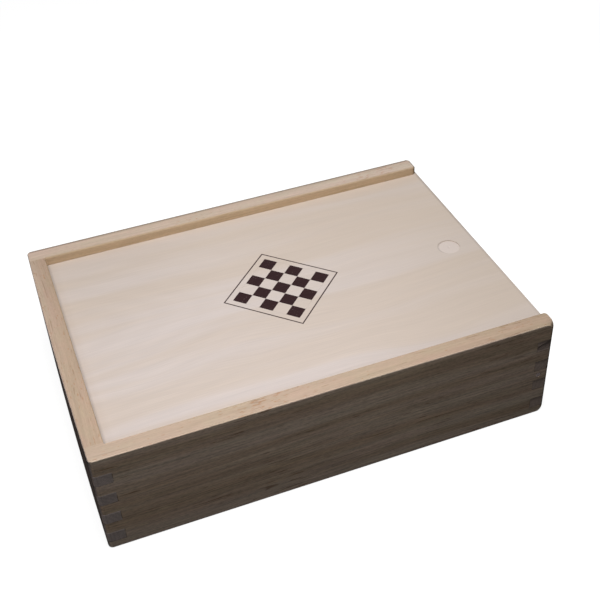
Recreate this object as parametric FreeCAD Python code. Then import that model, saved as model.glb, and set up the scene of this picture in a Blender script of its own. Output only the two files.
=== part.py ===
import FreeCAD, Part
import os
from FreeCAD import Rotation, Vector

# A flat wooden box for chess pieces, with a lid that slides out at one end.
# Millimetres. The origin is under the middle of the box, +Z is up, +X points to
# the open end where the lid comes out, and -Y is the long front.

# Outer form
box_length = 250.0
box_width = 178.0
box_height = 65.0
closed_end_bulge = 0.3
closed_end_front_ease = 0.35
closed_end_back_ease = 0.9
corner_round = 2.5
top_round = 0.7
bottom_round = 1.2
tip_round = 4.0
back_top_tip_round = 1.7
closed_end_rim = 0.8
board_arris = 0.4

# Lips over the lid's groove, with their inner rim eased round to the open end;
# the front one is worn more and more towards the closed end, the back one at its end
front_lip_corner = 2.0
front_lip_round = 0.9
back_lip_corner = 2.8
back_lip_round = 1.2
back_lip_end_wear = 2.5
front_rim_wear_closed = 1.9
front_rim_wear_open = 1.0

# Boards
side_board = 10.0
closed_end_board = 10.0
open_end_board = 9.4

# Finger joints: the fingers of the end boards show on the long sides
finger_height = 7.0
finger_gap = 7.0
finger_above_base = 1.2
open_finger_slope = 0.3

# Lid and its groove
lip_height = 5.6
groove_depth = 5.0
lid_thickness = 4.0
lid_play_above = 0.15
lid_play_below = 0.15
lid_side_play = 0.4
lid_end_play = 0.3
lid_proud = 0.75
lid_arris = 0.5

# Thumb recess, bored with a flat bit that leaves a centre mark
thumb_diameter = 12.6
thumb_depth = 0.35
thumb_inset = 16.7
bit_mark_diameter = 1.6
bit_mark_depth = 0.3

# Base, let into a rebate from below
base_thickness = 4.0
base_seat = 5.0
base_play = 0.2

# Divider, held in stopped grooves in the long sides
divider_thickness = 5.0
divider_groove_depth = 3.0
divider_end_play = 0.1
divider_lid_gap = 3.0
divider_round = 1.0

# Brads
brad_shank = 1.3
brad_head = 2.9
brad_head_thickness = 0.8
brad_point = 2.0
brad_recess = 0.1
brad_fit = 0.03
end_brad_length = 25.0
end_brad_offset = 1.8
base_brad_length = 18.0
base_brads_per_bay = 2
base_brads_per_end = 2

# Chip broken from the top front finger of the open end
chip_depth = 1.0
chip_inner_depth = 0.5
chip_step = 3.5

# Two places nearer than this are the same place
same_place = 1e-6

# Places that follow from the sizes above
left = -box_length / 2
right = box_length / 2
front = -box_width / 2
half_inside = box_width / 2 - side_board
inside_left = left + closed_end_board
inside_right = right - open_end_board

groove_roof = box_height - lip_height
lid_top = groove_roof - lid_play_above
lid_bottom = lid_top - lid_thickness
groove_floor = lid_bottom - lid_play_below
lid_left = inside_left - groove_depth + lid_end_play
lid_right = right + lid_proud
lid_half_width = half_inside + groove_depth - lid_side_play

base_left = inside_left - base_seat
base_right = inside_right + base_seat
base_half_width = half_inside + base_seat

divider_left = (inside_left + inside_right - divider_thickness) / 2
divider_right = divider_left + divider_thickness
divider_top = lid_bottom - divider_lid_gap

finger_pitch = finger_height + finger_gap
first_finger_bottom = base_thickness + finger_above_base
finger_room = groove_floor - first_finger_bottom - finger_height
finger_count = int(finger_room // finger_pitch) + 1
finger_bottoms = [first_finger_bottom + k * finger_pitch for k in range(finger_count)]


def block(x_ends, y_ends, z_ends):
    """A box between two places on each axis, given in either order."""
    low = Vector(min(x_ends), min(y_ends), min(z_ends))
    high = Vector(max(x_ends), max(y_ends), max(z_ends))
    size = high - low
    return Part.makeBox(size.x, size.y, size.z, low)


def outer_form():
    """The whole box as one block with its arrises eased, to trim the boards with.

    The closed end is sanded to a slight crown, so its corners lie back from its middle.
    """
    near_left = Vector(left + closed_end_front_ease, front, 0)
    near_right = Vector(right, front, 0)
    far_right = Vector(right, -front, 0)
    far_left = Vector(left + closed_end_back_ease, -front, 0)
    outline = [
        Part.makeLine(near_left, near_right),
        Part.makeLine(near_right, far_right),
        Part.makeLine(far_right, far_left),
        Part.Arc(far_left, Vector(left - closed_end_bulge, 0, 0), near_left).toShape(),
    ]
    form = Part.Face(Part.Wire(outline)).extrude(Vector(0, 0, box_height))
    upright = [e for e in form.Edges if e.BoundBox.ZLength > box_height - same_place]
    form = form.makeFillet(corner_round, upright)
    rim = [e for e in form.Edges if e.BoundBox.ZMin > box_height - same_place]
    form = form.makeFillet(top_round, rim)
    foot = [e for e in form.Edges if e.BoundBox.ZMax < same_place]
    form = form.makeFillet(bottom_round, foot)
    tips = [
        knocked_tip(form, near_right, 0, 1, tip_round),
        knocked_tip(form, far_right, 0, 1, tip_round),
        knocked_tip(form, near_right, box_height, -1, tip_round),
        knocked_tip(form, far_right, box_height, -1, back_top_tip_round),
    ]
    return form.cut(tips)


def knocked_tip(form, corner, height, way, radius):
    """What knocks have taken from the tip of a corner of the open end, at its foot or its top.

    The round begins at the corner's outermost line; way is 1 where the box is above the tip and -1 below.
    """
    inward = Vector(-1, 1 if corner.y < 0 else -1, 0) / 2 ** 0.5
    across = Vector(-inward.y, inward.x, 0)
    middle = Vector(0, 0, box_height / 2)
    outside = corner + middle - inward * box_length
    nearest = form.distToShape(Part.Vertex(outside))[1][0][0]
    tip = Vector(nearest.x, nearest.y, height) - across * (corner_round + radius)
    into_box = Vector(0, 0, way)
    centre = tip + (inward + into_box) * radius
    clear = (inward + into_box) * -corner_round
    rim = centre - into_box * radius
    foot = centre - inward * radius
    above_rim = rim - into_box * corner_round
    beyond_foot = foot - inward * corner_round
    edges = [
        quarter_round(centre, -into_box, -inward, radius),
        Part.makeLine(foot, beyond_foot),
        Part.makeLine(beyond_foot, tip + clear),
        Part.makeLine(tip + clear, above_rim),
        Part.makeLine(above_rim, rim),
    ]
    return Part.Face(Part.Wire(edges)).extrude(across * (2 * (corner_round + radius)))


def quarter_round(centre, towards_a, towards_b, radius):
    """A quarter circle from one way off its centre to another."""
    bulge = centre + (towards_a + towards_b) * (radius / 2 ** 0.5)
    return Part.Arc(centre + towards_a * radius, bulge, centre + towards_b * radius).toShape()


def arris_profile(corner, into_a, into_b, radius):
    """What a quarter round leaves of a square corner."""
    centre = corner + (into_a + into_b) * radius
    edges = [
        Part.makeLine(corner, corner + into_a * radius),
        quarter_round(centre, -into_b, -into_a, radius),
        Part.makeLine(corner + into_b * radius, corner),
    ]
    return Part.Wire(edges)


def arris_cutter(start, run, into_a, into_b, radius):
    """What sanding takes from a straight arris."""
    return Part.Face(arris_profile(start, into_a, into_b, radius)).extrude(run)


def finger_blocks(x_ends, y_ends):
    """One block at each finger's height."""
    return [block(x_ends, y_ends, (z, z + finger_height)) for z in finger_bottoms]


def brad(length, fit):
    """A headed brad along +Z with the top of its head at the origin; fit makes it larger, for its hole."""
    head = Part.makeCylinder(brad_head / 2 + fit, brad_head_thickness + fit)
    shank_end = length - brad_point
    shank = Part.makeCylinder(brad_shank / 2 + fit, shank_end)
    point = Part.makeCone(brad_shank / 2 + fit, fit, brad_point + fit, Vector(0, 0, shank_end))
    return head.fuse([shank, point]).removeSplitter()


def placed(shape, place, direction):
    """A copy turned from +Z to a direction and carried to a place."""
    copy = shape.copy()
    copy.Placement = FreeCAD.Placement(place, Rotation(Vector(0, 0, 1), direction))
    return copy


def brad_set(length, seats, fit=0.0):
    """Brads of one length at their seats; each seat is the face point and the way in."""
    pattern = brad(length, fit)
    return [placed(pattern, place + way * brad_recess, way) for place, way in seats]


def brad_holes(length, seats):
    """The holes of a set of brads, open to the face that they are driven from."""
    holes = brad_set(length, seats, brad_fit)
    mouth = Part.makeCylinder(brad_head / 2 + brad_fit, 2 * brad_recess)
    mouths = [placed(mouth, place - way * brad_recess, way) for place, way in seats]
    return holes + mouths


def end_brad_seats():
    """One brad on each long side, in the middle of the long board's middle finger."""
    middle = finger_bottoms[finger_count // 2 - 1] + finger_height + finger_gap / 2
    x = right - open_end_board / 2 - end_brad_offset
    return [(Vector(x, side * box_width / 2, middle), Vector(0, -side, 0)) for side in (-1, 1)]


def spread(ends, count):
    """Places spread evenly between two ends, half a step in from each."""
    step = (ends[1] - ends[0]) / count
    return [ends[0] + (k + 0.5) * step for k in range(count)]


def base_brad_seats():
    """Brads spread round the base, in the middle of its seat and clear of the divider."""
    y_seat = half_inside + base_seat / 2
    places = []
    for bay in ((inside_left, divider_left), (divider_right, inside_right)):
        for x in spread(bay, base_brads_per_bay):
            places += [Vector(x, -y_seat, 0), Vector(x, y_seat, 0)]
    for y in spread((-half_inside, half_inside), base_brads_per_end):
        places += [Vector(inside_left - base_seat / 2, y, 0), Vector(inside_right + base_seat / 2, y, 0)]
    return [(place, Vector(0, 0, 1)) for place in places]


def lip_waste(side, lip_corner, lip_round):
    """What sanding takes from a lip: its inner rim, its inner corner at the open end and its end."""
    inner = side * half_inside
    outer = side * box_width / 2
    outward = Vector(0, side, 0)
    rim_start = Vector(inside_left, inner, groove_roof)
    centre = Vector(right - lip_corner, inner, groove_roof) + outward * lip_corner
    rim_end = centre - outward * lip_corner
    end_start = centre + Vector(lip_corner, 0, 0)
    past_outside = outward * (side_board + corner_round)
    end_corner = Vector(right, inner, groove_roof) + past_outside
    back_corner = rim_start + past_outside
    outline = [
        Part.makeLine(rim_start, rim_end),
        quarter_round(centre, -outward, Vector(1, 0, 0), lip_corner),
        Part.makeLine(end_start, end_corner),
        Part.makeLine(end_corner, back_corner),
        Part.makeLine(back_corner, rim_start),
    ]
    lip = Part.Face(Part.Wire(outline)).extrude(Vector(0, 0, lip_height))
    tops = [e for e in lip.Edges if e.BoundBox.ZMin > box_height - same_place]
    rim = [e for e in tops if (e.CenterOfMass - Vector(0, inner, box_height)).dot(outward) < same_place]
    lip = lip.makeFillet(lip_round, rim)
    return block((inside_left, right), (inner, outer), (groove_roof, box_height)).cut(lip)


def front_rim_wear():
    """What use has taken from the front lip's rim, more towards the closed end."""
    ends = []
    for x, radius in ((inside_left, front_rim_wear_closed), (right - front_lip_corner, front_rim_wear_open)):
        corner = Vector(x, -half_inside, box_height)
        ends.append(arris_profile(corner, Vector(0, -1, 0), Vector(0, 0, -1), radius))
    return Part.makeLoft(ends, True, True)


def back_end_wear():
    """What use has taken from the end of the back lip."""
    start = Vector(right, half_inside, box_height)
    across = Vector(0, side_board, 0)
    return arris_cutter(start, across, Vector(-1, 0, 0), Vector(0, 0, -1), back_lip_end_wear)


def long_wall(side, form, holes, lip_corner, lip_round):
    """A long board; side is -1 at the front and 1 at the back."""
    outer = side * box_width / 2
    inner = side * half_inside
    wall = block((left, right), (outer, inner), (0, box_height))
    cuts = finger_blocks((left, inside_left), (outer, inner))
    cuts += finger_blocks((inside_right, right), (outer, inner))
    groove_wall = inner + side * groove_depth
    cuts.append(block((inside_left - groove_depth, right), (groove_wall, inner), (groove_floor, groove_roof)))
    rebate_wall = inner + side * base_seat
    cuts.append(block((base_left, base_right), (rebate_wall, inner), (0, base_thickness)))
    divider_wall = inner + side * divider_groove_depth
    cuts.append(block((divider_left, divider_right), (divider_wall, inner), (base_thickness, divider_top)))
    cuts.append(lip_waste(side, lip_corner, lip_round))
    return wall.cut(cuts).common(form).cut(holes).removeSplitter()


def closed_end_wall(form, holes):
    """The full-height end board, with its fingers through the long boards."""
    x_ends = (left - 2 * closed_end_bulge, inside_left)
    between = (-half_inside, half_inside)
    wall = block(x_ends, between, (0, box_height))
    wall = wall.fuse(finger_blocks(x_ends, (front, -front)))
    groove = block((inside_left - groove_depth, inside_left), between, (groove_floor, groove_roof))
    rebate = block((base_left, inside_left), between, (0, base_thickness))
    rim_start = Vector(inside_left, -half_inside, box_height)
    across = Vector(0, 2 * half_inside, 0)
    rim = arris_cutter(rim_start, across, Vector(-1, 0, 0), Vector(0, 0, -1), closed_end_rim)
    return wall.cut([groove, rebate, rim]).common(form).cut(holes).removeSplitter()


def finger_wedge(side, bottom, outer_depth, inner_depth, inner_drop):
    """What is missing from a finger's end: a step that runs out to nothing at the finger's foot.

    The step is at the finger's top at the outer corner, and lower by inner_drop at the inner one.
    """
    face = side * box_width / 2
    top = bottom + finger_height
    rims = []
    for x, step, depth in ((inside_right, top - inner_drop, inner_depth), (right, top, outer_depth)):
        floor = face - side * depth
        corners = [Vector(x, face, bottom), Vector(x, face, step), Vector(x, floor, step)]
        rims.append(Part.makePolygon(corners + corners[:1]))
    return Part.makeLoft(rims, True, True)


def open_finger_wedges():
    """The open end's fingers were sawn a little out of square, and the top front one is chipped."""
    wedges = []
    for bottom in finger_bottoms:
        for side in (-1, 1):
            wedges.append(finger_wedge(side, bottom, open_finger_slope, open_finger_slope, 0))
    wedges.append(finger_wedge(-1, finger_bottoms[-1], chip_depth, chip_inner_depth, chip_step))
    return wedges


def open_end_wall(form, holes):
    """The low end board that the lid slides over."""
    x_ends = (inside_right, right)
    between = (-half_inside, half_inside)
    wall = block(x_ends, between, (0, groove_floor))
    wall = wall.fuse(finger_blocks(x_ends, (front, -front)))
    rebate = block((inside_right, base_right), between, (0, base_thickness))
    cuts = [rebate] + open_finger_wedges()
    across = Vector(0, 2 * half_inside, 0)
    for x, inward in ((inside_right, 1), (right, -1)):
        start = Vector(x, -half_inside, groove_floor)
        cuts.append(arris_cutter(start, across, Vector(inward, 0, 0), Vector(0, 0, -1), board_arris))
    return wall.cut(cuts).common(form).cut(holes).removeSplitter()


def sliding_lid():
    """The lid, a little proud of the box's open end, with its thumb recess."""
    lid = block((lid_left, lid_right), (-lid_half_width, lid_half_width), (lid_bottom, lid_top))
    end_edges = [e for e in lid.Edges if e.BoundBox.XMin > lid_right - same_place]
    lid = lid.makeFillet(lid_arris, [e for e in end_edges if e.BoundBox.YLength > lid_half_width])
    floor = Vector(right - thumb_inset, 0, lid_top - thumb_depth)
    recess = Part.makeCylinder(thumb_diameter / 2, thumb_depth, floor)
    mark = Part.makeCone(bit_mark_diameter / 2, 0, bit_mark_depth, floor, Vector(0, 0, -1))
    return lid.cut([recess, mark])


def base_panel(holes):
    """The base, seated in the rebate with a little play round its edge."""
    y_edge = base_half_width - base_play
    panel = block((base_left + base_play, base_right - base_play), (-y_edge, y_edge), (0, base_thickness))
    return panel.cut(holes)


def centre_divider():
    """The board between the two compartments, with its top edges eased."""
    y_end = half_inside + divider_groove_depth - divider_end_play
    board = block((divider_left, divider_right), (-y_end, y_end), (base_thickness, divider_top))
    top_edges = [e for e in board.Edges if e.BoundBox.ZMin > divider_top - same_place]
    return board.makeFillet(divider_round, [e for e in top_edges if e.BoundBox.YLength > y_end])


def main():
    form = outer_form()
    end_seats = end_brad_seats()
    base_seats = base_brad_seats()
    end_holes = brad_holes(end_brad_length, end_seats)
    base_holes = brad_holes(base_brad_length, base_seats)
    all_holes = end_holes + base_holes
    front_wall = long_wall(-1, form, all_holes, front_lip_corner, front_lip_round)
    back_wall = long_wall(1, form, all_holes, back_lip_corner, back_lip_round)
    pieces = {
        "front_wall": front_wall.cut(front_rim_wear()),
        "back_wall": back_wall.cut(back_end_wear()),
        "closed_end_wall": closed_end_wall(form, base_holes),
        "open_end_wall": open_end_wall(form, all_holes),
        "sliding_lid": sliding_lid(),
        "base_panel": base_panel(base_holes),
        "centre_divider": centre_divider(),
        "open_end_brads": Part.makeCompound(brad_set(end_brad_length, end_seats)),
        "base_brads": Part.makeCompound(brad_set(base_brad_length, base_seats)),
    }
    os.makedirs("parts", exist_ok=True)
    for name, shape in pieces.items():
        shape.exportStep("parts/" + name + ".step")


main()
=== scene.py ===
# Looks of a flat wooden box for chess pieces, with a lid that slides out at one end.
import math

import bpy
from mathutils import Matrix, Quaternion, Vector


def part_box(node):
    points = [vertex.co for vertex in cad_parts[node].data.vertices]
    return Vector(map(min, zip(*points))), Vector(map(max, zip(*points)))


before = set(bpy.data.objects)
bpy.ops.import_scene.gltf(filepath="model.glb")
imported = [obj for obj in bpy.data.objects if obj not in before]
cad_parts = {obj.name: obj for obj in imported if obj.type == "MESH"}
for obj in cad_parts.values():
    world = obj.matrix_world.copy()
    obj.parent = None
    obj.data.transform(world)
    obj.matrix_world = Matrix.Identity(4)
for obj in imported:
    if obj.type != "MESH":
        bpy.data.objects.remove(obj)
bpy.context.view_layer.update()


def srgb(red, green, blue):
    """A colour given, 0 to 255, as the shader's linear one."""
    def linear(level):
        share = level / 255
        return share / 12.92 if share <= 0.04045 else ((share + 0.055) / 1.055) ** 2.4
    return (linear(red), linear(green), linear(blue), 1.0)


MM = 0.001
ALONG_X = 0
ALONG_Y = 1
PLAIN = (1.0, 1.0, 1.0, 1.0)
WHITE = (1.0, 1.0, 1.0, 1.0)

# Camera, in metres, degrees and millimetres of lens
CAMERA_PLACE = (-0.13336, -0.43119, 0.42515)
CAMERA_AZIMUTH = -18.895
CAMERA_ELEVATION = 39.462
CAMERA_ROLL = -3.046
CAMERA_LENS = 62.1
CAMERA_SENSOR = 36.0
CAMERA_CLIP_START = 0.01

# Light, in metres and degrees: each level is the share of full white that a facing surface gets
KEY_LEVEL = 0.93
KEY_PLACE = (-0.025, -0.105, 0.64)
KEY_RADIUS = 0.15
FRONT_LEVEL = 0.035
FRONT_TOWARDS = (0.1, -1.0, 0.2)
BACK_LEVEL = 0.15
BACK_TOWARDS = (0.7, 0.7, 0.1)
SIDE_SOFTNESS = 40.0
SKY_LEVEL = 0.055
FLOOR_BOUNCE = 0.05
FLOOR_SEEN = 0.32
FLOOR_LIFT = 0.92
FLOOR_HALF_SIZE = 6.0

# Half the length and the width of the box, in millimetres
OUTER_HALF = [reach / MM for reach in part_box("front_wall")[1][:1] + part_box("back_wall")[1][1:2]]

# Corner joints, in millimetres: the seams that the glue shows at
SIDE_BOARD = 10.0
CLOSED_END_BOARD = 10.0
OPEN_END_BOARD = 9.4
FINGER_FOOT = 5.2
FINGER_HEIGHT = 7.0
FINGER_COUNT = 4
# Sloping depth of the sawn finger ends, and width of the painted light on their upper rims
FINGER_SLOPE = 0.3
FINGER_RIM = 0.8
SEAM_WIDTH = 0.3
SEAM_EDGE = 0.1

# Bare beech: its two ground colours, its flecks, its end grain and the glue in its joints
BEECH_PALE = srgb(208, 188, 171)
BEECH_BROWN = srgb(190, 166, 144)
# Lighter, warmer tone painted on the inside faces, for light bounced from the lid
BEECH_INSIDE_BOUNCE = srgb(222, 194, 157)
PALE_FLECK = srgb(230, 210, 178)
DARK_FLECK = srgb(128, 90, 62)
ORANGE_FRECKLE = srgb(178, 116, 70)
END_GRAIN_PALE = srgb(190, 176, 171)
END_GRAIN_DARK = srgb(172, 158, 153)
GLUE_LINE = srgb(92, 70, 52)

# Slight changes of the beech's colour, from one tint to the other
BLUSH_TINTS = (1.02, 0.995, 1.0, 1.0), (0.985, 1.005, 0.98, 1.0)
BLOTCH_TINTS = (1.015, 0.99, 0.99, 1.0), (0.99, 1.003, 0.98, 1.0)

# Tints of the boards' tops at the low and the high end of their run
# The front's darker high end is partly the board's own tone and partly a painted falloff of light
FRONT_TOP_TINTS = (1.02, 1.02, 1.03, 1.0), (0.91, 0.88, 0.84, 1.0)
BACK_TOP_TINTS = (1.09, 1.1, 1.14, 1.0), (1.15, 1.21, 1.29, 1.0)
CLOSED_TOP_TINTS = (0.96, 0.93, 0.91, 1.0), (0.9, 0.88, 0.87, 1.0)
CLOSED_OUTER_TINT = (1.12, 1.19, 1.38, 1.0)

# Tint of the open end's sawn fingers, which are browner than the closed end's
OPEN_FINGER_TINT = (0.83, 0.78, 0.72)

# Beech grain, in millimetres: how far it strays, and the rings about the heart of the tree outside the board
GRAIN_STRAY = 12.0
RING_SPACING = 2.3
HEART_HEIGHT = 12.0
HEART_OUTSIDE = 16.0

# Places of the boards with painted light and shade, in millimetres and as shares of the light
EDGE_SHADE_START = 2.5
EDGE_SHADE_FULL = 0.9
FOOT_DARK_BELOW = 24.0
FOOT_DARKEST = 2.0
FOOT_SHADE = 0.08
ARRIS_FADE = 0.35
CORNER_HIGHLIGHT_GAIN = 0.5

# Pale veneer of the lid, the base and the divider, and the plies at the lid's edge
VENEER_PALE = srgb(220, 208, 203)
VENEER_WARM = srgb(216, 201, 190)
VENEER_YELLOWED = srgb(207, 191, 174)
VENEER_BORED = srgb(226, 213, 206)
INNER_PLYWOOD = srgb(190, 166, 138)
PLY_OUTER = srgb(205, 184, 160)
PLY_CORE = srgb(172, 146, 120)
PLY_CORE_HALF = 0.75

# Figure of the veneer, in millimetres: it strays, and arches where the knife met the rings at a slant
VENEER_STRAY = 24.0
ARCH_SPACING = 8.0
ARCH_MIDDLE = 12.0
ARCH_DEPTH = 60.0
ARCH_SLANT = 0.34
ARCH_HEIGHT = 0.009

# Where the lid's veneer is palest, and from how far it is yellower and darker to how far it is yellowest and
# darkest, in millimetres: partly the veneer's own tone, partly a painted falloff of light from there
LID_PALEST = (-45.0, -70.0)
LID_YELLOWER_FROM = 20.0
LID_YELLOWEST_AT = 200.0

# Printed design on the lid: a chequered lozenge in a thin frame, in millimetres
PRINT_CENTRE = (5.0, 4.0)
PRINT_SQUARE = 8.2
PRINT_SQUARES_EACH_WAY = 5
PRINT_FRAME_REACH = 24.0
PRINT_FRAME_LINE = 0.55
PRINT_EDGE = 0.12
INK_DARK = srgb(47, 30, 32)
INK_PALE = srgb(58, 39, 40)

# Painted shadow of the closed end on the lid, in millimetres: it lies against the closed end and thins out
# along the lid
RAIL_SHADOW_EDGE = -115.0
RAIL_SHADOW_REACH = 2.2
RAIL_SHADOW_SOFT_REACH = 7.0

# Thumb recess in the lid, in millimetres
THUMB_X = 108.3
THUMB_RADIUS = 6.3

# Dull wire of the brads
WIRE_PALE = srgb(79, 71, 70)
WIRE_DARK = srgb(69, 62, 61)


class Value:
    """A shader socket. Arithmetic on it adds Math nodes."""

    def __init__(self, nodes, socket):
        self.nodes = nodes
        self.socket = socket

    def math(self, operation, *terms):
        return self.nodes.add("ShaderNodeMath", {"operation": operation}, dict(enumerate(terms)))

    def __add__(self, other):
        return self.math("ADD", self, other)

    def __radd__(self, other):
        return self.math("ADD", other, self)

    def __sub__(self, other):
        return self.math("SUBTRACT", self, other)

    def __rsub__(self, other):
        return self.math("SUBTRACT", other, self)

    def __mul__(self, other):
        return self.math("MULTIPLY", self, other)

    def __truediv__(self, other):
        return self.math("DIVIDE", self, other)

    def __pow__(self, other):
        return self.math("POWER", self, other)

    def __abs__(self):
        return self.math("ABSOLUTE", self)

    def larger(self, other):
        return self.math("MAXIMUM", self, other)

    def sine(self):
        return self.math("SINE", self)

    def wave(self, length):
        """A sine wave with one peak in each length."""
        return (self * (2 * math.pi / length)).sine()

    def remainder(self, size):
        return self.math("FLOORED_MODULO", self, size)

    def there_and_back(self, reach):
        """Climbs from 0 to reach and falls back to 0, over and over."""
        return self.math("PINGPONG", self, reach)


class Nodes:
    """The node tree of one finish."""

    def __init__(self, tree):
        self.tree = tree
        tree.nodes.clear()

    def add(self, kind, settings=None, sockets=None, output=0):
        """Adds a node: its settings first, then the values or links of its sockets."""
        node = self.tree.nodes.new(kind)
        for name, value in (settings or {}).items():
            setattr(node, name, value)
        for key, value in (sockets or {}).items():
            if isinstance(value, Value):
                self.tree.links.new(value.socket, node.inputs[key])
            else:
                node.inputs[key].default_value = value
        return Value(self, node.outputs[output]) if node.outputs else None

    def step(self, value, low, high):
        """0 up to low, 1 from high on and smooth between them. High may be the smaller number."""
        settings = {"interpolation_type": "SMOOTHSTEP"}
        return self.add("ShaderNodeMapRange", settings, {"Value": value, "From Min": low, "From Max": high})

    def near(self, value, target, reach):
        """1 at the target, and 0 from reach away."""
        return 1 - self.step(abs(value - target), reach * 0.3, reach)

    def mix(self, amount, base, over):
        """A colour, base where amount is 0 and over where it is 1."""
        return self.add("ShaderNodeMix", {"data_type": "RGBA"}, {0: amount, 6: base, 7: over}, 2)

    def times(self, colour, factor):
        """A colour made lighter or darker by a factor."""
        return self.add("ShaderNodeVectorMath", {"operation": "SCALE"}, {0: colour, "Scale": factor})

    def tinted(self, colour, tint):
        """A colour multiplied by a tint, channel by channel."""
        return self.add("ShaderNodeVectorMath", {"operation": "MULTIPLY"}, {0: colour, 1: tint})

    def point(self, x, y, z):
        return self.add("ShaderNodeCombineXYZ", None, {0: x, 1: y, 2: z})

    def noise(self, point, per_mm, offset, detail=1.0, roughness=0.5):
        """Noise about 0 at a point in millimetres, with so many waves per millimetre on each axis."""
        settings = {"operation": "MULTIPLY_ADD"}
        stretched = self.add("ShaderNodeVectorMath", settings, {0: point, 1: per_mm, 2: (offset,) * 3})
        sockets = {"Vector": stretched, "Scale": 1.0, "Detail": detail, "Roughness": roughness}
        return self.add("ShaderNodeTexNoise", None, sockets) - 0.5

    def axes(self, vector):
        """The three parts of a vector."""
        split = self.add("ShaderNodeSeparateXYZ", None, {0: vector})
        return [Value(self, socket) for socket in split.socket.node.outputs]

    def place(self):
        """The three coordinates of a point on the piece, in millimetres."""
        at = self.add("ShaderNodeTexCoord", None, None, "Object")
        return [part / MM for part in self.axes(at)]

    def facing(self):
        """The three parts of the surface's normal on the piece."""
        return self.axes(self.add("ShaderNodeTexCoord", None, None, "Normal"))

    def surface(self, **sockets):
        """The finish's shader and output."""
        names = {name.replace("_", " "): value for name, value in sockets.items()}
        shader = self.add("ShaderNodeBsdfPrincipled", None, names)
        self.add("ShaderNodeOutputMaterial", None, {"Surface": shader})

    def bump(self, height, distance, strength):
        """A normal that follows a height from 0 to 1 over a distance in metres."""
        sockets = {"Height": height, "Distance": distance, "Strength": strength}
        return self.add("ShaderNodeBump", None, sockets)


def distance(aside, beyond):
    """How far off a point is that lies so far aside and so far beyond."""
    return (aside * aside + beyond * beyond) ** 0.5


def new_finish(name):
    """A material with an empty node tree."""
    material = bpy.data.materials.new(name)
    material.use_nodes = True
    return material, Nodes(material.node_tree)


class Board:
    """A beech board of the box: where a point lies on it, and which way the surface faces there."""

    def __init__(self, n, along, offset, inward):
        """The grain runs along X or Y, and inward is the sign of the way to the box's inside."""
        across = ALONG_Y if along == ALONG_X else ALONG_X
        self.n = n
        self.offset = offset
        self.place = n.place()
        self.run = self.place[along]
        self.half_run = OUTER_HALF[along]
        self.height = self.place[2]
        self.outward = self.place[across] * -inward
        self.outer_face = OUTER_HALF[across]

        self.facing = n.facing()
        self.to_end = self.facing[along]
        self.to_inside = self.facing[across] * inward
        self.to_outside = self.facing[across] * -inward
        self.up = self.facing[2]
        self.top = n.step(self.up, 0.5, 0.9)

        # The grain climbs and falls a little as it runs along the board
        through = self.place[across]
        self.straight = n.point(self.run, self.height, through)
        self.lift = self.noise(self.straight, 0.005, 0.008, 0.0, 0.0) * GRAIN_STRAY
        drift = self.noise(self.straight, 0.005, 0.008, 5.0, 0.0) * GRAIN_STRAY
        self.grain = n.point(self.run, self.height + self.lift, through + drift)

    def noise(self, point, along, across, seed, detail=1.0, roughness=0.5):
        """Noise with so many waves per millimetre along the board and across it."""
        return self.n.noise(point, (along, across, across), self.offset + seed, detail, roughness)


def far_end(board):
    """The part of the board towards the high end of its run."""
    return board.n.step(board.run, board.half_run * 0.15, board.half_run)


def inside_face(board):
    return board.n.step(board.to_inside, 0.3, 0.8)


def inner_rim(board):
    """The rounded edge between the top and the inside."""
    return board.n.step(board.to_inside, 0.1, 0.4) * board.n.step(board.up, 0.1, 0.5)


def outer_edge(board):
    """The strip of the top that lies along the outer face, where painted shade darkens it."""
    edge_shade = board.n.step(board.outward, board.outer_face - EDGE_SHADE_START, board.outer_face - EDGE_SHADE_FULL)
    return edge_shade * board.top


def outer_arris(board):
    """The rounded edge between the top and the outer face."""
    return board.n.step(board.to_outside, 0.2, 0.5) * board.n.step(board.up, 0.15, 0.4)


def fading_arris(board):
    """The same edge, weaker towards the high end of the run."""
    return outer_arris(board) * (1 - board.n.step(board.run, -board.half_run, 0.0) * ARRIS_FADE)


def shaded_end(board):
    """The end at the high end of the run, with its rounded rims, where painted shade darkens it."""
    return board.n.step(board.to_end, 0.15, 0.6)


def knocked_tip(board):
    """The rounded tip of the front right corner."""
    return board.n.step(board.facing[0] * board.facing[1], -0.1, -0.3) * board.n.step(board.up, 0.05, 0.3)


def highlit_corner(board):
    """The front left corner and the opposite one, where a highlight is painted."""
    return board.n.step(board.facing[0] * board.facing[1], 0.12, 0.42)


def foot(board):
    """The lower part of the board, which painted shade makes a little darker."""
    return board.n.step(board.height, FOOT_DARK_BELOW, FOOT_DARKEST)


# Places of each board with painted light: the share of the light that each loses as painted shade, or gains
# as a painted highlight if below 0
# The front's high end is partly a painted falloff of light, its outer arris a painted highlight and its
# knocked tip painted shade
FRONT_SHADES = (far_end, 0.12), (fading_arris, -0.4), (knocked_tip, 0.65)
# The back's inner rim, outer edge, outer arris and end are painted shade
BACK_SHADES = (inner_rim, 0.1), (outer_edge, 0.46), (outer_arris, 0.55), (shaded_end, 0.4)
# The closed end's inside is painted shade
CLOSED_SHADES = ((inside_face, 0.35),)


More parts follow.
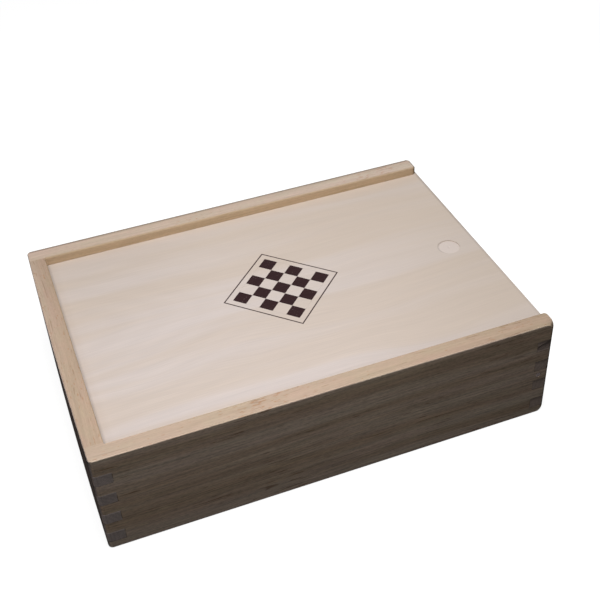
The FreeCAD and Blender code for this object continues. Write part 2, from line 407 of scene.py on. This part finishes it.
def joint_seams(board):
    """1 along the glued seams of the corner joints, broken here and there."""
    n = board.n
    x, y, z = board.place
    half_length, half_width = OUTER_HALF
    into_end = (CLOSED_END_BOARD - half_length - x).larger(x + OPEN_END_BOARD - half_length)
    into_side = abs(y) + SIDE_BOARD - half_width
    at_end = n.step(into_end, SEAM_EDGE, SEAM_WIDTH)
    at_side = n.step(into_side, SEAM_EDGE, SEAM_WIDTH)

    middle = FINGER_FOOT + FINGER_HEIGHT / 2
    top = FINGER_FOOT + (2 * FINGER_COUNT - 1) * FINGER_HEIGHT
    above = n.step(z, top + SEAM_WIDTH / 2, top + SEAM_WIDTH)
    off_finger = (z - middle).there_and_back(FINGER_HEIGHT).larger(above * FINGER_HEIGHT)
    in_gap = n.step(off_finger, FINGER_HEIGHT / 2 - SEAM_EDGE, FINGER_HEIGHT / 2 + SEAM_EDGE)
    past_middle = (z - middle).remainder(2 * FINGER_HEIGHT)
    under_finger = n.near(past_middle, 1.5 * FINGER_HEIGHT, SEAM_WIDTH) * (1 - above)
    level = under_finger * at_end * at_side
    on_side = n.step(abs(board.facing[1]), 0.5, 0.8)
    on_end = n.step(abs(board.facing[0]), 0.5, 0.8)
    upright_side = n.near(into_end, 0.0, SEAM_WIDTH) * (1 - in_gap) * at_side * on_side
    upright_end = n.near(into_side, 0.0, SEAM_WIDTH) * in_gap * at_end * on_end
    breaks = n.step(n.noise(n.point(x, y, z), (0.5, 0.5, 0.5), 17.0), -0.14, 0.06)
    return level.larger(upright_side).larger(upright_end) * breaks


def sawn_end(board, bands, tint, painted_rim_light, deep_shade):
    """The colour and the pores of end grain, which is greyer than the faces and shows growth rings, with
    painted light on the fingers' rims and painted shade where the end lies deep.
    """
    n = board.n
    from_heart = board.outer_face - board.outward + HEART_OUTSIDE
    rings = distance(board.height - HEART_HEIGHT + board.lift, from_heart).wave(RING_SPACING)
    pores = board.noise(board.straight, 0.3, 2.4, 61.0, 2.0, 0.6)
    tone = n.mix(n.step(pores, -0.15, 0.2), END_GRAIN_PALE, END_GRAIN_DARK)

    # Painted light on the fingers' upper rims, a highlight on the closed end and a shadow line on the open
    # end; and painted shade darkens the end grain where it lies deeper than the sawn slope, most in the
    # chipped finger
    over_foot = (board.height - FINGER_FOOT).remainder(2 * FINGER_HEIGHT)
    rim = n.near(over_foot, FINGER_HEIGHT, FINGER_RIM) * painted_rim_light
    sawn_depth = over_foot * (FINGER_SLOPE / FINGER_HEIGHT)
    deep_shaded = n.step(board.half_run - abs(board.run) - sawn_depth, 0.01, 0.15) * deep_shade
    tone = n.times(tone, (1 + rings * 0.05 + bands * 0.6 + rim) * (1 - deep_shaded))
    return n.tinted(tone, tint), pores


def board_finish(name, along, offset, inward, top_tints=(PLAIN, PLAIN), outer_tint=PLAIN, end_tint=PLAIN[:3],
                 painted_rim_light=0.0, deep_shade=0.0, shades=()):
    """Bare beech. The offset sets the board's grain apart from the others'."""
    material, n = new_finish(name)
    board = Board(n, along, offset, inward)
    top = board.top

    bands = board.noise(board.grain, 0.003, 0.11, 11.0, 2.0)
    lines = board.noise(board.grain, 0.009, 0.75, 19.0)
    fibres = board.noise(board.grain, 0.03, 1.4, 23.0, 2.0, 0.6)
    specks = board.noise(board.grain, 0.45, 1.6, 29.0, 2.0)
    blush = board.noise(board.grain, 0.02, 0.2, 33.0, 2.0)
    clusters = board.noise(board.straight, 0.014, 0.035, 31.0)
    short_flecks = board.noise(board.grain, 0.09, 0.9, 37.0) + clusters * 0.35
    long_flecks = board.noise(board.grain, 0.022, 0.8, 41.0) + clusters * 0.25
    pale_flecks = board.noise(board.grain, 0.1, 1.0, 43.0)
    freckles = board.noise(board.grain, 0.28, 1.2, 47.0) + clusters * 0.4
    dark = n.step(short_flecks, 0.2, 0.27).larger(n.step(long_flecks, 0.21, 0.29))
    pale = n.step(pale_flecks, 0.17, 0.26)
    freckled = n.step(freckles, 0.18, 0.26) * top

    # The figure is plainer on the boards' narrow tops, which have freckles instead
    figure = 1 - top * 0.7
    tone = n.mix(n.step(bands * figure, -0.15, 0.15), BEECH_PALE, BEECH_BROWN)
    tone = n.tinted(tone, n.mix(n.step(blush, -0.2, 0.2), *BLUSH_TINTS))
    tone = n.times(tone, 1 + (lines * 0.45 + fibres + specks * 0.7) * figure)
    tone = n.mix(pale * figure * 0.4, tone, PALE_FLECK)
    tone = n.mix(dark * (1 - top * 0.45) * 0.55, tone, DARK_FLECK)
    tone = n.mix(freckled * 0.4, tone, ORANGE_FRECKLE)

    end_tone, pores = sawn_end(board, bands, end_tint, painted_rim_light, deep_shade)
    end_grain = n.step(abs(board.to_end), 0.55, 0.85)
    tone = n.mix(end_grain, tone, end_tone)

    # Tops are blotched, and toned more at one end than at the other; the front's darker high end is partly
    # the board's own tone and partly a painted falloff of light
    blotches = n.step(board.noise(board.straight, 0.09, 0.14, 71.0, 2.0), -0.2, 0.2)
    top_tint = n.mix(n.step(board.run, -board.half_run, board.half_run), *top_tints)
    top_tint = n.tinted(top_tint, n.mix(blotches, *BLOTCH_TINTS))
    tone = n.tinted(tone, n.mix(top, PLAIN, top_tint))

    # Painted light: the inside faces take a lighter, warmer tone that stands in for light bounced from the
    # lid
    tone = n.mix(inside_face(board) * 0.6, tone, BEECH_INSIDE_BOUNCE)
    outside = n.step(board.to_outside, 0.5, 0.85)
    tone = n.tinted(tone, n.mix(outside, PLAIN, outer_tint))
    tone = n.mix(joint_seams(board) * (0.6 - top * 0.5), tone, GLUE_LINE)

    # Painted highlight on the corners, and painted shade on the foot and on the listed places
    light = 1 + highlit_corner(board) * CORNER_HIGHLIGHT_GAIN - foot(board) * FOOT_SHADE
    for painted_place, share in shades:
        light = light - painted_place(board) * share
    tone = n.times(tone, light)

    relief = n.bump(fibres * 0.6 + specks * 0.4 - dark * 0.3 - pores * end_grain, 0.1 * MM, 0.6)
    roughness = 0.86 + fibres * 0.2
    n.surface(Base_Color=tone, Roughness=roughness, Normal=relief, Specular_IOR_Level=0.0)
    return material


def veneer(n, run, across, through, offset):
    """The colour and the fibre height of a pale sliced veneer."""
    straight = n.point(run, across, through)
    stray = n.noise(straight, (0.007, 0.018, 0.018), offset, 2.0)
    grain = n.point(run, across + stray * VENEER_STRAY, through)
    bands = n.noise(grain, (0.0035, 0.06, 0.06), offset + 13.0, 2.0)
    streaks = n.noise(grain, (0.01, 0.3, 0.3), offset + 19.0, 2.0)
    fibres = n.noise(grain, (0.03, 1.4, 1.4), offset + 29.0, 3.0, 0.6)

    # The arches are clearest at one end
    side = across - ARCH_MIDDLE + stray * 30.0
    depth = ARCH_DEPTH + run * ARCH_SLANT + stray * 16.0
    arches = distance(side, depth).wave(ARCH_SPACING) * (0.25 + n.step(run, 10.0, -90.0))

    tone = n.mix(n.step(bands, -0.14, 0.14), VENEER_PALE, VENEER_WARM)
    tone = n.times(tone, 1 + streaks * 0.11 + fibres * 0.2 + arches * ARCH_HEIGHT)
    return tone, fibres


def ink_mask(n, x, y, z, top):
    """1 where the lid is printed."""
    aside = x - PRINT_CENTRE[0]
    beyond = y - PRINT_CENTRE[1]
    turned = (aside + beyond) / math.sqrt(2), (beyond - aside) / math.sqrt(2)
    wave = math.pi / PRINT_SQUARE
    quarter = math.pi / 2
    product = (turned[0] * wave + quarter).sine() * (turned[1] * wave + quarter).sine()
    soft = PRINT_EDGE * wave / 2
    squares = n.step(product, -soft, soft)
    reach = abs(turned[0]).larger(abs(turned[1]))
    edge = PRINT_SQUARE * PRINT_SQUARES_EACH_WAY / 2
    board = 1 - n.step(reach, edge - PRINT_EDGE, edge + PRINT_EDGE)
    line = n.near(reach, PRINT_FRAME_REACH, PRINT_FRAME_LINE)
    on_top = n.step(z, top - 0.2, top - 0.1)
    return (squares * board).larger(line) * on_top


def lid_finish(name):
    """Pale plywood with its plies at the edge and the printed design on top."""
    material, n = new_finish(name)
    x, y, z = n.place()
    low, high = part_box("sliding_lid")
    end = high.x / MM
    top = high.z / MM
    tone, fibres = veneer(n, x, y, z, 3.0)

    # The veneer is yellower and darker away from its palest part, partly its own tone and partly a painted
    # falloff of light, and lighter or darker in broad patches
    from_palest = distance(x - LID_PALEST[0], y - LID_PALEST[1])
    yellowed_and_dimmed = n.step(from_palest, LID_YELLOWER_FROM, LID_YELLOWEST_AT)
    tone = n.mix(yellowed_and_dimmed * 0.5, tone, VENEER_YELLOWED)
    far_side = n.step(y, -20.0, 70.0) * n.step(x, -80.0, -10.0)
    near_corner = n.step(x - y, 60.0, 160.0)
    near_side = n.step(y, -64.0, -76.0)
    tone = n.times(tone, 1 + far_side * 0.05 - near_corner * 0.05 - near_side * 0.05)

    # The bored recess is fresh, pale wood
    from_thumb = x - THUMB_X
    thumb = distance(from_thumb, y)
    bored = n.step(z, top - 0.05, top - 0.15) * (1 - n.step(thumb, THUMB_RADIUS - 0.2, THUMB_RADIUS + 0.1))
    tone = n.mix(bored * 0.6, tone, VENEER_BORED)

    # Painted shade: the closed end's shadow lies on the lid beside it, the free end is darker, most in the
    # middle, and a shadow crescent darkens the recess's far and left rim
    rail_shadow = n.step(x, RAIL_SHADOW_EDGE + RAIL_SHADOW_REACH, RAIL_SHADOW_EDGE) * 0.3
    rail_shadow = rail_shadow + n.step(x, RAIL_SHADOW_EDGE + RAIL_SHADOW_SOFT_REACH, RAIL_SHADOW_EDGE) * 0.08
    rail_shadow = rail_shadow * n.step(x, RAIL_SHADOW_EDGE - 1.2, RAIL_SHADOW_EDGE - 0.2)
    free_end_shade = n.step(x, end - 2.3, end - 0.3) * (0.12 + n.step(y, -40.0, 40.0) * 0.16)
    tone = n.times(tone, (1 - rail_shadow) * (1 - free_end_shade))
    recess_rim_shadow = n.near(thumb, THUMB_RADIUS, 0.8) * (0.3 + n.step(from_thumb, 3.0, -5.0)) * n.step(y, -6.0, -2.0)
    tone = n.times(tone, 1 - recess_rim_shadow * 0.12)

    middle = (low.z + high.z) / 2 / MM
    core = 1 - n.step(abs(z - middle), PLY_CORE_HALF - 0.05, PLY_CORE_HALF + 0.05)
    edge_on = 1 - n.step(abs(n.facing()[2]), 0.4, 0.6)
    plies = n.mix(core, PLY_OUTER, PLY_CORE)
    plies = n.times(plies, (1 + fibres * 0.5) * (1 - n.step(x, end - 5.5, end - 1.5) * 0.35))
    tone = n.mix(edge_on * (1 - bored), tone, plies)

    speckle = n.noise(n.point(x, y, z), (0.6, 1.8, 1.8), 71.0, 3.0, 0.6)
    ink = ink_mask(n, x, y, z, top) * (1 - n.step(speckle, 0.16, 0.28) * 0.4)
    ink_tone = n.mix(n.step(fibres, -0.2, 0.3), INK_DARK, INK_PALE)
    colour = n.mix(ink, tone, ink_tone)
    relief = n.bump(fibres, 0.06 * MM, 0.5)
    roughness = 0.82 + fibres * 0.15 - ink * 0.2
    n.surface(Base_Color=colour, Roughness=roughness, Normal=relief, Specular_IOR_Level=0.05)
    return material


def inner_board_finish(name, along, offset):
    """Pale plywood of the base and the divider."""
    material, n = new_finish(name)
    place = n.place()
    across = ALONG_Y if along == ALONG_X else ALONG_X
    tone, fibres = veneer(n, place[along], place[across], place[2], offset)
    tone = n.mix(0.35, tone, INNER_PLYWOOD)
    relief = n.bump(fibres, 0.06 * MM, 0.5)
    roughness = 0.84 + fibres * 0.15
    n.surface(Base_Color=tone, Roughness=roughness, Normal=relief, Specular_IOR_Level=0.05)
    return material


def brad_finish(name):
    """Dull drawn wire with hammer marks."""
    material, n = new_finish(name)
    x, y, z = n.place()
    marks = n.noise(n.point(x, y, z), (2.2, 2.2, 2.2), 5.0, 3.0, 0.6)
    tone = n.mix(n.step(marks, -0.15, 0.2), WIRE_PALE, WIRE_DARK)
    roughness = 0.6 + marks * 0.2
    relief = n.bump(marks, 0.03 * MM, 0.3)
    n.surface(Base_Color=tone, Metallic=1.0, Roughness=roughness, Normal=relief)
    return material


def dress(finishes):
    """Gives each CAD piece its finish."""
    for node, finish in finishes.items():
        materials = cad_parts[node].data.materials
        materials.clear()
        materials.append(finish)


def set_camera():
    azimuth = math.radians(CAMERA_AZIMUTH)
    elevation = math.radians(CAMERA_ELEVATION)
    level = math.cos(elevation)
    ahead = Vector((-math.sin(azimuth) * level, math.cos(azimuth) * level, -math.sin(elevation)))
    data = bpy.data.cameras.new("camera")
    data.lens = CAMERA_LENS
    data.sensor_width = CAMERA_SENSOR
    data.clip_start = CAMERA_CLIP_START
    camera = bpy.data.objects.new("camera", data)
    camera.location = CAMERA_PLACE
    camera.rotation_mode = "QUATERNION"
    roll = Quaternion((0, 0, 1), math.radians(CAMERA_ROLL))
    camera.rotation_quaternion = ahead.to_track_quat("-Z", "Y") @ roll
    bpy.context.scene.collection.objects.link(camera)
    bpy.context.scene.camera = camera


def add_key():
    """A soft round lamp close above the box, which gives the lid under it the key level."""
    low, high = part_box("sliding_lid")
    height = KEY_PLACE[2] - high.z
    data = bpy.data.lights.new("key", "AREA")
    data.shape = "DISK"
    data.size = 2 * KEY_RADIUS
    data.energy = KEY_LEVEL * math.pi ** 2 * (height ** 2 + KEY_RADIUS ** 2)
    lamp = bpy.data.objects.new("key", data)
    lamp.location = KEY_PLACE
    lamp.visible_camera = False
    bpy.context.scene.collection.objects.link(lamp)


def add_side_light(name, level, towards):
    """A far, weak lamp for the sides that the key leaves dark."""
    data = bpy.data.lights.new(name, "SUN")
    data.energy = level * math.pi
    data.angle = math.radians(SIDE_SOFTNESS)
    lamp = bpy.data.objects.new(name, data)
    lamp.rotation_mode = "QUATERNION"
    lamp.rotation_quaternion = Vector(towards).to_track_quat("Z", "Y")
    bpy.context.scene.collection.objects.link(lamp)


def seen_directly(n):
    """1 for rays that show a thing itself: to the camera, in a reflection or through glass."""
    path = n.add("ShaderNodeLightPath").socket.node.outputs
    seen = [Value(n, path[name]) for name in ("Is Camera Ray", "Is Glossy Ray", "Is Transmission Ray")]
    return seen[0].larger(seen[1]).larger(seen[2])


def set_sky():
    """A sky that looks white and gives a little light."""
    world = bpy.data.worlds.new("sky")
    world.use_nodes = True
    n = Nodes(world.node_tree)
    strength = seen_directly(n) * (1 - SKY_LEVEL) + SKY_LEVEL
    light = n.add("ShaderNodeBackground", None, {"Color": WHITE, "Strength": strength})
    n.add("ShaderNodeOutputWorld", None, {"Surface": light})
    bpy.context.scene.world = world


def add_floor():
    """A white floor that keeps the box's shadow and throws little light back up."""
    half = FLOOR_HALF_SIZE
    mesh = bpy.data.meshes.new("floor")
    corners = [(-half, -half, 0), (half, -half, 0), (half, half, 0), (-half, half, 0)]
    mesh.from_pydata(corners, [], [(0, 1, 2, 3)])
    floor = bpy.data.objects.new("floor", mesh)
    bpy.context.scene.collection.objects.link(floor)
    material, n = new_finish("floor_white")
    unseen = n.add("ShaderNodeBsdfDiffuse", None, {"Color": (FLOOR_BOUNCE,) * 3 + (1,)})
    lit = n.add("ShaderNodeBsdfDiffuse", None, {"Color": (FLOOR_SEEN,) * 3 + (1,)})
    lift = n.add("ShaderNodeEmission", None, {"Color": WHITE, "Strength": FLOOR_LIFT})
    seen = n.add("ShaderNodeAddShader", None, {0: lit, 1: lift})
    shader = n.add("ShaderNodeMixShader", None, {0: seen_directly(n), 1: unseen, 2: seen})
    n.add("ShaderNodeOutputMaterial", None, {"Surface": shader})
    mesh.materials.append(material)


set_camera()
dress({
    "front_wall": board_finish("front_board", ALONG_X, 0.0, 1, FRONT_TOP_TINTS, shades=FRONT_SHADES),
    "back_wall": board_finish("back_board", ALONG_X, 140.0, -1, BACK_TOP_TINTS, shades=BACK_SHADES),
    "closed_end_wall": board_finish("closed_end_board", ALONG_Y, 260.0, 1, CLOSED_TOP_TINTS,
                                    CLOSED_OUTER_TINT, painted_rim_light=0.6, shades=CLOSED_SHADES),
    "open_end_wall": board_finish("open_end_board", ALONG_Y, 390.0, -1, end_tint=OPEN_FINGER_TINT,
                                  painted_rim_light=-0.3, deep_shade=0.4),
    "sliding_lid": lid_finish("lid_veneer"),
    "base_panel": inner_board_finish("base_veneer", ALONG_X, 510.0),
    "centre_divider": inner_board_finish("divider_veneer", ALONG_Y, 640.0),
    "open_end_brads": brad_finish("brad_wire"),
    "base_brads": brad_finish("base_brad_wire"),
})
add_key()
add_side_light("front", FRONT_LEVEL, FRONT_TOWARDS)
add_side_light("back", BACK_LEVEL, BACK_TOWARDS)
set_sky()
add_floor()
bpy.context.scene.view_settings.view_transform = "Standard"
